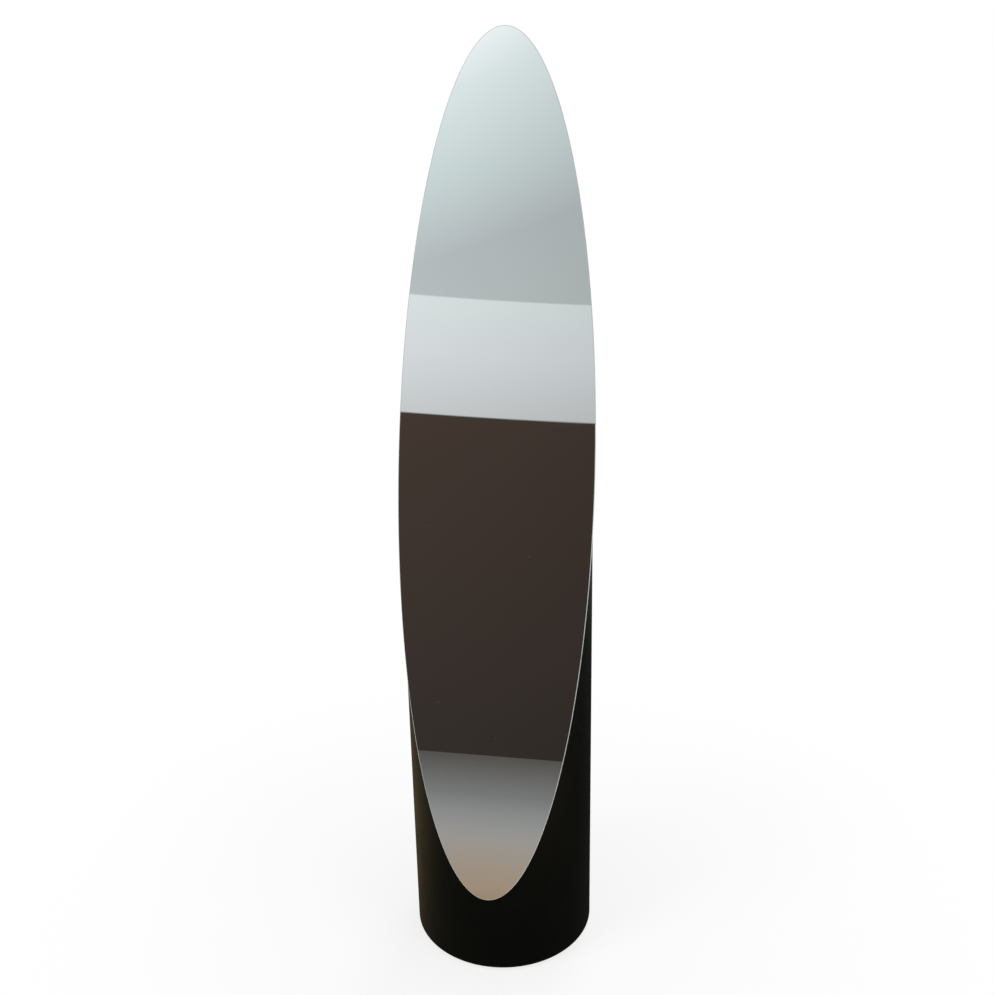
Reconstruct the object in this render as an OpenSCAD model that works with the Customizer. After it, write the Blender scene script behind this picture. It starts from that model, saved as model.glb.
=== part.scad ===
// Rolling floor mirror: an upright tube cut on a steep slant, capped by one oval mirror,
// standing on four twin-wheel castors that hide inside the tube's lower skirt.
// Millimetres. The origin is on the tube's axis at floor level, +Z is up, and the mirror faces -Y.

/* [Tube] */
// Outer diameter of the tube
tube_d = 340; // [310:5:400]
// Thickness of the tube's wall
tube_wall = 5; // [4:0.5:7]
// Height of the slanted cut's lowest point, at the front
cut_low_z = 165; // [155:5:260]
// Height of the slanted cut's highest point, at the back
cut_high_z = 1645; // [1500:5:1800]
// Gap between the tube's lower rim and the floor
floor_gap = 8; // [5:0.5:14]
// Radius of the rounding on both edges of the lower rim
rim_round = 1.6; // [0.5:0.1:1.9]
// Width of the butt seam where the rolled sheet's edges meet, at the back
seam_gap = 0.8; // [0.4:0.1:2]

/* [Mirror] */
// Thickness of the mirror glass
glass_t = 4; // [3:0.5:6]
// How far the glass stands out past the tube all round
glass_overhang = 4; // [1:0.5:7]
// Width of the ground arris along both edges of the glass
glass_arris = 1.4; // [0.4:0.1:1.4]
// Thickness of the mastic between the glass and its backing board
mastic_t = 1.5; // [1:0.25:3]
// Diameter of one pressed dab of mastic
mastic_d = 38; // [25:1:45]
// Distance between the rows of mastic dabs, along the slant
mastic_pitch = 130; // [100:5:180]

/* [Backing board] */
// Thickness of the backing board
board_t = 8; // [6:0.5:10]
// Clearance between any fitted disc or board and the tube's wall
fit_gap = 0.5; // [0.3:0.1:1.5]
// Thickness of a wall cleat, towards the tube's axis
cleat_t = 28; // [26:1:32]
// Width of a board cleat round the tube, in degrees
cleat_span = 15; // [12:1:18]
// Depth of a board cleat behind the board, square to the slant
cleat_depth = 18; // [14:1:20]
// Diameter of the wood screws' shanks
screw_d = 4; // [3.5:0.5:4.5]
// How far a wood screw bites into its cleat
screw_bite = 11; // [8:1:12]

/* [Stiffening] */
// Thickness of a bulkhead
bulkhead_t = 12; // [9:1:16]
// Thickness of the batten that backs the seam
batten_t = 12; // [8:1:16]
// Width of the batten round the tube, in degrees
batten_span = 24; // [18:1:30]
// Height of the glue blocks under a bulkhead
block_h = 20; // [15:1:30]

/* [Base] */
// Thickness of the base disc
base_t = 18; // [16:1:22]
// Height of the cleats on top of the base disc
base_cleat_h = 30; // [24:1:32]
// Height of the ballast weight
ballast_h = 55; // [30:5:70]
// How far the ballast weight sits forward of the tube's axis
ballast_forward = 18; // [0:1:30]
// Clearance between the ballast weight and the front base cleat
ballast_gap = 8; // [4:1:20]
// Distance between the two ballast bolts
ballast_bolt_pitch = 100; // [80:5:110]
// Diameter of the ballast bolts
ballast_bolt_d = 8; // [6:1:10]

/* [Castors] */
// Clearance between the tube's wall and a castor as it swivels
castor_gap = 4; // [3:0.5:10]
// Height of a castor from the floor to the top of its plate
castor_h = 65; // [63:1:72]
// Diameter of a castor wheel
wheel_d = 50; // [44:1:50]
// Width of one castor wheel
wheel_w = 14; // [12:0.5:15]
// Horizontal distance from the swivel axis to the axle
trail = 16; // [14:0.5:17]
// Thickness of the hood's centre web
web_w = 14; // [13.5:0.5:15]
// Diameter of the kingpin
kingpin_d = 8; // [7:0.5:8]
// Diameter of the axle
axle_d = 6; // [5:0.5:7]
// Side of the square mounting plate
plate_side = 40; // [38:1:44]
// Thickness of the mounting plate
plate_t = 2.5; // [2:0.5:3]
// Distance between the plate's screw holes
plate_hole_pitch = 29; // [28:0.5:30]

/* [Hidden] */
$fn = 96;
// Finest segment count, for the long mirror outline
outline_fn = 240;
// Overlap used only to make a cut or a join cleanly
eps = 1;

tube_r = tube_d / 2;
bore_r = tube_r - tube_wall;
fit_r = bore_r - fit_gap;
// Steepness of the cut above the horizontal, and the height where it crosses the axis
lean = atan((cut_high_z - cut_low_z) / tube_d);
cut_mid_z = (cut_low_z + cut_high_z) / 2;
// A length that reaches past the whole mirror
reach = 2 * cut_high_z;

// Half axes of the mirror's oval
glass_a = tube_r + glass_overhang;
glass_b = tube_r / cos(lean) + glass_overhang;
// Half length of the tube's mouth inside its wall, along the slant
mouth_b = bore_r / cos(lean);

// Depths behind the cut plane, square to it
board_front = mastic_t;
board_back = board_front + board_t;
cleat_back = board_back + cleat_depth;

// Angles round the tube: 0 is the front, positive towards +X. Rows of board cleats go up both sides.
front_cleat_angle = 0;
cleat_rows = [40, 80, 115, 145];
cleat_angles = concat([front_cleat_angle], [for (row = cleat_rows, side = [-1, 1]) side * row]);
base_cleat_angles = [0, -60, 60, -120, 120];
block_angles = [-145, -108, 108, 145];
base_cleat_span = 16;
block_span = 14;
block_t = 18;
// How much wider than the seam batten its notch in a bulkhead is, in degrees
notch_spare = 2;
// Halfway along its length, a board screw crosses the middle of its cleat's thickness
screw_r = bore_r - cleat_t / 2;
screw_mid_depth = (board_front + board_back + screw_bite) / 2;
screw_head_d = 2 * screw_d;
screw_head_h = screw_d * 0.6;
screw_slot_w = 0.9;
screw_slot_depth = 1;
screw_point = 3;

base_z = castor_h;
base_top = base_z + base_t;
// Board cleats stay above the base cleats
cleat_min_z = base_top + base_cleat_h;
// The bulkheads stand midway between one pair of board cleats and the next
bulkhead_low_z = (cleat_head_z(cleat_rows[0]) + cleat_foot_z(cleat_rows[1]) - bulkhead_t) / 2;
bulkhead_high_z = (cleat_head_z(cleat_rows[1]) + cleat_foot_z(cleat_rows[2]) - bulkhead_t) / 2;

ballast_d = 2 * (bore_r - cleat_t - ballast_gap - ballast_forward);
ballast_edge = 5;
ballast_bolt_gap = 0.5;
bolt_head_r = ballast_bolt_d * 1.1;
bolt_head_h = ballast_bolt_d * 0.5;
washer_t = 1.6;
washer_r = ballast_bolt_d * 1.5;
washer_gap = 0.4;
nut_h = ballast_bolt_d * 0.8;
nut_r = ballast_bolt_d * 0.92;
bolt_spare = 4;

// Castor sizes that follow from the driving ones
wheel_r = wheel_d / 2;
wheel_side_gap = 0.5;
wheel_top_gap = 1.5;
running_gap = 0.05;
fender_t = 2.5;
fender_ri = wheel_r + wheel_top_gap;
fender_ro = fender_ri + fender_t;
fender_from = 5;
fender_to = 150;
// How far the fender reaches past the wheels' outer faces
fender_lip = 0.5;
hood_w = web_w + 2 * (wheel_side_gap + wheel_w + fender_lip);
// Circle that a castor sweeps as it swivels, and the place of its kingpin on the base disc
swing_r = norm([trail + fender_ro, hood_w / 2]);
castor_offset = (bore_r - castor_gap - swing_r) / sqrt(2);
web_drop = 8;
web_rim_gap = 3;
// Wall of the hood round the kingpin
pin_wall = 5;
neck_r = 12;
// The hood's neck starts inside the fender's crown
neck_sink = 4;
neck_from = wheel_d - neck_sink;
swivel_gap = 0.1;
thrust_t = 1.5;
thrust_r = 10;
plate_under = castor_h - plate_t;
hood_top = plate_under - thrust_t - swivel_gap;
plate_corner = 4;
plate_hole_r = 2.3;
kingpin_r = kingpin_d / 2;
kingpin_shoulder = 1;
kingpin_neck_r = kingpin_r - kingpin_shoulder;
// How far the kingpin's foot is below the height of the axle, and its space under the foot
kingpin_drop = 1;
kingpin_foot = wheel_r - kingpin_drop;
pin_end_gap = 1;
axle_r = axle_d / 2;
// Snap bead of the hood and the wheels, and the groove that it runs in
bead_h = 1;
bead_reach = 0.3;
groove_h = 2;
groove_depth = 0.6;
kingpin_groove_rise = 6;
kingpin_groove_z = kingpin_foot + kingpin_groove_rise;
axle_groove_y = 8;
wheel_round = 1.5;
wheel_rim_t = 3.5;
wheel_disc_t = 2.5;
// How far the wheel's domed face drops from its centre to the rim
wheel_dome_drop = 2;
wheel_hub_t = 4;
wheel_hub_r = axle_r + wheel_hub_t;
wheel_rib_t = 1.6;
wheel_rib_foot = 1;
wheel_ribs = 6;
axle_bore_floor = 2;
axle_bore_depth = wheel_w - axle_bore_floor;
axle_end_gap = 0.5;
castor_screw_d = 4;
castor_screw_bite = 15;
castor_screw_head_r = 4;
castor_screw_head_h = 2.6;

// Name, side and end of each castor: -1 is the left side or the front
castors = [["front_left", -1, -1], ["front_right", 1, -1], ["rear_left", -1, 1], ["rear_right", 1, 1]];
castor_parts = ["plate", "kingpin", "washer", "hood", "axle", "wheel_left", "wheel_right"];
// The castors trail straight back, as after the mirror was pulled forward
castor_heading = 90;

// ---------- places ----------

// The middle of the cut plane, with local Y up the slant and local Z out of the mirror
module on_cut() {
    translate([0, 0, cut_mid_z]) rotate([lean, 0, 0]) children();
}

// All space between two depths behind the cut plane
module slant_slab(from_depth, to_depth) {
    on_cut() translate([-reach / 2, -reach / 2, -to_depth]) cube([reach, reach, to_depth - from_depth]);
}

// Where a line square to the slant meets it, if the line is at this place round the tube at a depth
function slant_point(angle, radius, depth) =
    [radius * sin(angle), -(radius * cos(angle) + depth * sin(lean)) / cos(lean)];

// Height of the cut above a position y
function cut_z(y) = cut_mid_z + y * tan(lean);

// Positions y of a board cleat's corners, and the heights of its highest and lowest corner
function cleat_corners_y(angle) =
    [for (r = [bore_r - cleat_t, bore_r], side = [-1, 1]) -r * cos(angle + side * cleat_span / 2)];
function cleat_head_z(angle) = cut_z(max(cleat_corners_y(angle))) - board_back / cos(lean);
function cleat_foot_z(angle) = cut_z(min(cleat_corners_y(angle))) - cleat_back / cos(lean);

// A block on the inside of the tube's wall, curved to fit it
module wall_block(angle, span, thickness, z_from, z_to) {
    rotate([0, 0, angle - 90 - span / 2]) rotate_extrude(angle = span)
        translate([bore_r - thickness, z_from]) square([thickness, z_to - z_from]);
}

module at_castor(c) {
    translate([c[1] * castor_offset, c[2] * castor_offset, 0]) rotate([0, 0, castor_heading]) children();
}

module at_ballast_bolts() {
    for (side = [-1, 1]) translate([side * ballast_bolt_pitch / 2, -ballast_forward, 0]) children();
}

// ---------- fasteners ----------

// A countersunk wood screw without its slot: its head's face is at z = rise and its point is below.
// With a rise, the head goes on as a cylinder, to cut the screw's own hole through a surface at z = 0.
module screw_blank(length, rise) {
    rotate_extrude() polygon([
        [0, rise], [screw_head_d / 2, rise], [screw_head_d / 2, 0], [screw_d / 2, -screw_head_h],
        [screw_d / 2, screw_point - length], [0, -length]
    ]);
}

module wood_screw(length) {
    difference() {
        screw_blank(length, 0);
        translate([-screw_head_d, -screw_slot_w / 2, -screw_slot_depth])
            cube([2 * screw_head_d, screw_slot_w, screw_slot_depth + eps]);
    }
}

module at_board_screws() {
    on_cut() for (angle = cleat_angles) {
        p = slant_point(angle, screw_r, screw_mid_depth);
        translate([p[0], p[1], -board_front]) children();
    }
}

module at_base_screws() {
    for (angle = base_cleat_angles) rotate([0, 0, angle])
        translate([0, -screw_r, base_z]) rotate([180, 0, 0]) children();
}

module board_screw_holes() {
    at_board_screws() screw_blank(board_t + screw_bite, eps);
}

module base_screw_holes() {
    at_base_screws() screw_blank(base_t + screw_bite, eps);
}

// ---------- tube ----------

module tube_section() {
    translate([bore_r, floor_gap + rim_round]) square([tube_wall, cut_high_z]);
    translate([bore_r + rim_round, floor_gap]) square([tube_wall - 2 * rim_round, 2 * rim_round]);
    for (r = [bore_r + rim_round, tube_r - rim_round]) translate([r, floor_gap + rim_round]) circle(rim_round);
}

module tube_shell() {
    color([0.055, 0.055, 0.05]) difference() {
        rotate_extrude() tube_section();
        slant_slab(-reach, 0);
        translate([-seam_gap / 2, 0, 0]) cube([seam_gap, tube_r + eps, reach]);
    }
}

module seam_batten() {
    color([0.62, 0.48, 0.33]) difference() {
        wall_block(180, batten_span, batten_t, base_top, cut_high_z);
        slant_slab(-reach, board_back);
    }
}

// ---------- mirror ----------

module oval_plate(a, b, thickness) {
    linear_extrude(thickness) scale([a, b]) circle(1, $fn = outline_fn);
}

module mirror_glass() {
    color([0.8, 0.85, 0.85]) on_cut() hull() {
        oval_plate(glass_a - glass_arris, glass_b - glass_arris, glass_t);
        translate([0, 0, glass_arris]) oval_plate(glass_a, glass_b, glass_t - 2 * glass_arris);
    }
}

// Rows of dabs: two side by side where the mouth is wide, one near each end
module mastic_dabs() {
    rows = floor((mouth_b - mastic_d) / mastic_pitch);
    color([0.78, 0.75, 0.66]) on_cut() for (row = [-rows:rows]) {
        half_width = bore_r * sqrt(1 - pow(row * mastic_pitch / mouth_b, 2));
        sides = half_width > 2 * mastic_d ? [-0.5, 0.5] : [0];
        for (side = sides) translate([side * half_width, row * mastic_pitch, -mastic_t])
            cylinder(h = mastic_t, d = mastic_d);
    }
}

module backing_board() {
    color([0.55, 0.4, 0.26]) difference() {
        intersection() {
            cylinder(h = cut_high_z, r = fit_r);
            slant_slab(board_front, board_back);
        }
        board_screw_holes();
    }
}

module board_cleats() {
    color([0.72, 0.58, 0.4]) difference() {
        for (angle = cleat_angles) intersection() {
            wall_block(angle, cleat_span, cleat_t, cleat_min_z, cut_high_z);
            slant_slab(board_back, cleat_back);
        }
        board_screw_holes();
    }
}

module board_screws() {
    color([0.72, 0.7, 0.62]) at_board_screws() wood_screw(board_t + screw_bite);
}

// ---------- stiffening ----------

// A half-moon disc behind the board, notched round the seam batten
module bulkhead(z) {
    color([0.66, 0.52, 0.36]) difference() {
        translate([0, 0, z]) cylinder(h = bulkhead_t, r = fit_r);
        slant_slab(-reach, board_back);
        wall_block(180, batten_span + notch_spare, batten_t + 2 * fit_gap, z - eps, z + bulkhead_t + eps);
    }
}

module lower_bulkhead() bulkhead(bulkhead_low_z);

module upper_bulkhead() bulkhead(bulkhead_high_z);

module bulkhead_blocks() {
    color([0.72, 0.58, 0.4]) for (z = [bulkhead_low_z, bulkhead_high_z], angle = block_angles)
        wall_block(angle, block_span, block_t, z - block_h, z);
}

// ---------- base ----------

module base_disc() {
    color([0.7, 0.56, 0.38]) difference() {
        translate([0, 0, base_z]) cylinder(h = base_t, r = fit_r);
        base_screw_holes();
        castor_screw_shanks();
        at_ballast_bolts() translate([0, 0, base_z - eps])
            cylinder(h = base_t + 2 * eps, d = ballast_bolt_d + ballast_bolt_gap);
    }
}

module base_cleats() {
    color([0.72, 0.58, 0.4]) difference() {
        for (angle = base_cleat_angles) wall_block(angle, base_cleat_span, cleat_t, base_top, cleat_min_z);
        base_screw_holes();
    }
}

module base_screws() {
    color([0.72, 0.7, 0.62]) at_base_screws() wood_screw(base_t + screw_bite);
}

// A cast disc with bevelled edges, bolted down on the base disc
module ballast_weight() {
    r = ballast_d / 2;
    color([0.5, 0.5, 0.48]) difference() {
        translate([0, -ballast_forward, base_top]) rotate_extrude() polygon([
            [0, 0], [r, 0], [r, ballast_h - ballast_edge], [r - ballast_edge, ballast_h], [0, ballast_h]
        ]);
        at_ballast_bolts() translate([0, 0, base_top - eps])
            cylinder(h = ballast_h + 2 * eps, d = ballast_bolt_d + ballast_bolt_gap);
    }
}

module ballast_bolts() {
    shank = base_t + ballast_h + washer_t + nut_h + bolt_spare;
    color([0.75, 0.75, 0.72]) at_ballast_bolts() translate([0, 0, base_z]) {
        cylinder(h = shank, d = ballast_bolt_d);
        translate([0, 0, -bolt_head_h]) cylinder(h = bolt_head_h, r1 = bolt_head_r * 0.7, r2 = bolt_head_r);
    }
}

module ballast_washers() {
    color([0.75, 0.75, 0.72]) at_ballast_bolts() translate([0, 0, base_top + ballast_h]) difference() {
        cylinder(h = washer_t, r = washer_r);
        translate([0, 0, -eps]) cylinder(h = washer_t + 2 * eps, d = ballast_bolt_d + washer_gap);
    }
}

module ballast_nuts() {
    color([0.75, 0.75, 0.72]) at_ballast_bolts() translate([0, 0, base_top + ballast_h + washer_t]) difference() {
        cylinder(h = nut_h, r = nut_r, $fn = 6);
        translate([0, 0, -eps]) cylinder(h = nut_h + 2 * eps, d = ballast_bolt_d);
    }
}

// ---------- castors ----------

module at_plate_holes() {
    for (x = [-1, 1], y = [-1, 1]) translate([x * plate_hole_pitch / 2, y * plate_hole_pitch / 2, 0]) children();
}

module castor_screw_shanks() {
    for (c = castors) at_castor(c) at_plate_holes() translate([0, 0, plate_under])
        cylinder(h = plate_t + castor_screw_bite, d = castor_screw_d);
}

// Pan-head screws that hold the castor plates up against the base disc
module castor_screws() {
    color([0.75, 0.75, 0.72]) {
        castor_screw_shanks();
        for (c = castors) at_castor(c) at_plate_holes() translate([0, 0, plate_under - castor_screw_head_h])
            difference() {
                cylinder(h = castor_screw_head_h, r1 = castor_screw_head_r * 0.75, r2 = castor_screw_head_r);
                translate([-castor_screw_head_r, -screw_slot_w / 2, -eps])
                    cube([2 * castor_screw_head_r, screw_slot_w, screw_slot_depth + eps]);
            }
    }
}

module plate_outline() {
    inner = plate_side - 2 * plate_corner;
    square([plate_side, inner], center = true);
    square([inner, plate_side], center = true);
    for (x = [-1, 1], y = [-1, 1]) translate([x * inner / 2, y * inner / 2]) circle(plate_corner);
}

module castor_plate() {
    color([0.7, 0.7, 0.72]) translate([0, 0, plate_under]) difference() {
        linear_extrude(plate_t) plate_outline();
        at_plate_holes() translate([0, 0, -eps]) cylinder(h = plate_t + 2 * eps, r = plate_hole_r);
        translate([0, 0, -eps]) cylinder(h = plate_t + 2 * eps, r = kingpin_neck_r);
    }
}

// A pin riveted into the plate, with a groove that the hood's bead snaps into
module castor_kingpin() {
    bevel = 0.6;
    color([0.7, 0.7, 0.72]) rotate_extrude() polygon([
        [0, kingpin_foot], [kingpin_r - bevel, kingpin_foot], [kingpin_r, kingpin_foot + bevel],
        [kingpin_r, kingpin_groove_z], [kingpin_r - groove_depth, kingpin_groove_z],
        [kingpin_r - groove_depth, kingpin_groove_z + groove_h], [kingpin_r, kingpin_groove_z + groove_h],
        [kingpin_r, plate_under], [kingpin_neck_r, plate_under], [kingpin_neck_r, castor_h], [0, castor_h]
    ]);
}

module castor_washer() {
    color([0.7, 0.7, 0.72]) translate([0, 0, plate_under - thrust_t]) difference() {
        cylinder(h = thrust_t, r = thrust_r);
        translate([0, 0, -eps]) cylinder(h = thrust_t + 2 * eps, r = kingpin_r + washer_gap);
    }
}

// The space inside a snap socket: a bore with a bead round it, along +Z from its closed end
module socket(r, depth, bead_at) {
    difference() {
        cylinder(h = depth, r = r + running_gap);
        translate([0, 0, bead_at]) difference() {
            cylinder(h = bead_h, r = r + eps);
            translate([0, 0, -eps]) cylinder(h = bead_h + 2 * eps, r = r - bead_reach);
        }
    }
}

// Side view of the hood round the axle: X is backwards, Y is up
module fender_wedge() {
    far = 3 * fender_ro;
    polygon(concat([[0, 0]], [for (s = [0:3]) let (a = fender_from + s * (fender_to - fender_from) / 3)
        [far * cos(a), far * sin(a)]]));
}

module web_outline() {
    intersection() {
        circle(fender_ro);
        fender_wedge();
    }
    intersection() {
        circle(wheel_r - web_rim_gap);
        translate([-wheel_r, -web_drop]) square([wheel_d, wheel_d]);
    }
    translate([-trail - kingpin_r - pin_wall, -web_drop])
        square([kingpin_d + 2 * pin_wall, web_drop + neck_from - wheel_r]);
}

module castor_hood() {
    color([0.09, 0.09, 0.09]) difference() {
        union() {
            translate([trail, web_w / 2, wheel_r]) rotate([90, 0, 0]) linear_extrude(web_w) web_outline();
            translate([trail, hood_w / 2, wheel_r]) rotate([90, 0, 0]) linear_extrude(hood_w) intersection() {
                circle(fender_ro);
                fender_wedge();
            }
            translate([0, 0, neck_from]) cylinder(h = hood_top - neck_from, r = neck_r);
        }
        for (side = [-1, 1]) translate([trail, side * web_w / 2, wheel_r]) rotate([-90 * side, 0, 0])
            cylinder(h = hood_w, r = fender_ri);
        translate([0, 0, kingpin_foot - pin_end_gap])
            socket(kingpin_r, castor_h, kingpin_groove_rise + pin_end_gap + (groove_h - bead_h) / 2);
        translate([trail, 0, wheel_r]) rotate([90, 0, 0]) cylinder(h = hood_w, r = axle_r, center = true);
    }
}

module castor_axle() {
    half = web_w / 2 + wheel_side_gap + axle_bore_depth - axle_end_gap;
    groove = web_w / 2 + wheel_side_gap + axle_groove_y;
    color([0.7, 0.7, 0.72]) translate([trail, 0, wheel_r]) rotate([90, 0, 0]) difference() {
        cylinder(h = 2 * half, r = axle_r, center = true);
        for (side = [-1, 1]) translate([0, 0, side * (groove + groove_h / 2)]) difference() {
            cylinder(h = groove_h, r = axle_r + eps, center = true);
            cylinder(h = groove_h + eps, r = axle_r - groove_depth, center = true);
        }
    }
}

// Half section of a wheel: X is the radius, Y runs from the inner face to the outer face
module wheel_section() {
    rim_ri = wheel_r - wheel_rim_t;
    dome_r = (pow(rim_ri, 2) + pow(wheel_dome_drop, 2)) / (2 * wheel_dome_drop);
    translate([rim_ri, 0]) square([wheel_rim_t - wheel_round, wheel_w]);
    translate([rim_ri, wheel_round]) square([wheel_rim_t, wheel_w - 2 * wheel_round]);
    for (y = [wheel_round, wheel_w - wheel_round]) translate([wheel_r - wheel_round, y]) circle(wheel_round);
    intersection() {
        translate([0, wheel_w - dome_r]) difference() {
            circle(dome_r);
            circle(dome_r - wheel_disc_t);
        }
        square([rim_ri + eps, wheel_w]);
    }
    square([wheel_hub_r, wheel_w - wheel_disc_t / 2]);
}

// One wheel, lying on its inner face: a domed disc with a hollow, ribbed back and a blind snap hub
module wheel() {
    rib_top = wheel_w - wheel_dome_drop - wheel_disc_t / 2;
    difference() {
        union() {
            rotate_extrude() wheel_section();
            for (rib = [0:wheel_ribs - 1]) rotate([0, 0, rib * 360 / wheel_ribs])
                translate([wheel_hub_r - eps, -wheel_rib_t / 2, wheel_rib_foot])
                    cube([wheel_r - wheel_rim_t - wheel_hub_r + 2 * eps, wheel_rib_t, rib_top - wheel_rib_foot]);
        }
        translate([0, 0, axle_bore_depth]) mirror([0, 0, 1])
            socket(axle_r, axle_bore_depth + eps, axle_bore_depth - axle_groove_y - (groove_h + bead_h) / 2);
    }
}

module castor_wheel(side) {
    color([0.07, 0.07, 0.07]) translate([trail, side * (web_w / 2 + wheel_side_gap), wheel_r])
        rotate([-90 * side, 0, 0]) wheel();
}

// ---------- what is drawn ----------

tube_shell();
seam_batten();
mirror_glass();
mastic_dabs();
backing_board();
board_cleats();
board_screws();
lower_bulkhead();
upper_bulkhead();
bulkhead_blocks();
base_disc();
base_cleats();
base_screws();
ballast_weight();
ballast_bolts();
ballast_washers();
ballast_nuts();
castor_screws();
for (c = castors) at_castor(c) {
    castor_plate();
    castor_kingpin();
    castor_washer();
    castor_hood();
    castor_axle();
    castor_wheel(1);
    castor_wheel(-1);
}
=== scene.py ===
"""Looks of a rolling floor mirror: a black tube cut on a steep slant, with one oval mirror over the cut.

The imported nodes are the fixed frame. The tube and the glass are modelled again here with finer edges, and
every other node keeps its shape and gets its finish. All lengths are in metres, +Z is up, and the mirror
faces -Y.
"""

import logging
import math
from collections.abc import Callable, Iterable
from dataclasses import dataclass, field
from enum import Enum
from functools import reduce
from typing import Any

import bmesh
import bpy
from mathutils import Euler, Matrix, Vector


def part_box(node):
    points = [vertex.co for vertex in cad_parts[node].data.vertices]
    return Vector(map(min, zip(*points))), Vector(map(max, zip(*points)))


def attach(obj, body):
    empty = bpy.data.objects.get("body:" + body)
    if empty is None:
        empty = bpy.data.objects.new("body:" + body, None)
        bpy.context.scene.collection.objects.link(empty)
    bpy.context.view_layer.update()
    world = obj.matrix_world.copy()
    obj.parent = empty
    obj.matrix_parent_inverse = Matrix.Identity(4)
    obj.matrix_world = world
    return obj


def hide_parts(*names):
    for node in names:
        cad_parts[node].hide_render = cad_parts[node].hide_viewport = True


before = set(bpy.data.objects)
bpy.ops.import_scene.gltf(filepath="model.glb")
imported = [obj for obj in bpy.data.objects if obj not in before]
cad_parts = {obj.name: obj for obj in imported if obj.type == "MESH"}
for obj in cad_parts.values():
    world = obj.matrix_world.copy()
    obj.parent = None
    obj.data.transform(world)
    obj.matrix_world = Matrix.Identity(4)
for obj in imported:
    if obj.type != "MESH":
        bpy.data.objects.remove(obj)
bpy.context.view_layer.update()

log = logging.getLogger("floor_mirror")

Colour = tuple[float, float, float]
Place = tuple[float, float, float]
Tones = tuple[tuple[float, Colour], ...]
Range = tuple[float, float]
Fade = tuple[float, float, float, float]  # where a change starts and ends, and what it is there
Socket = bpy.types.NodeSocket
Outputs = bpy.types.bpy_prop_collection

PHOTO_SIZE = (994, 995)
ROOT = "root"
WHITE = (1.0, 1.0, 1.0)
MM = 0.001
CLOSE = 0.1 * MM  # a difference that counts as none
SAME_WAY = 0.999  # the cosine past which two directions count as one
INWARDS = -0.5  # the cosine to the way out, below which a face looks inwards
SHARP = math.radians(35)  # past this an edge of a new piece is shaded sharp
BROKEN = math.radians(38)  # past this an edge of a node is broken
ONE_CORNER = 0.002 * MM  # corners of a node that are closer than this are one


class Slot(Enum):
    """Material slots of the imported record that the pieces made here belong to."""

    LAMINATE = "black_laminate"
    MIRROR = "mirror_silver"


class Grain(Enum):
    """Which way the grain of a wooden piece runs, as the turn that brings it to local Y."""

    UPRIGHT = (math.radians(90), 0.0, 0.0)
    ACROSS = (0.0, 0.0, math.radians(90))
    BACKWARDS = (0.0, 0.0, 0.0)


# ---------- shader building ----------


def bare_tree(owner: bpy.types.Material | bpy.types.World) -> bpy.types.NodeTree:
    """Turn on the nodes of a material or a world."""
    owner.use_nodes = True
    return owner.node_tree


def scaled(colour: Colour, by: float) -> Colour:
    """A colour made darker or paler by a factor."""
    return tuple(by * part for part in colour)


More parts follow.
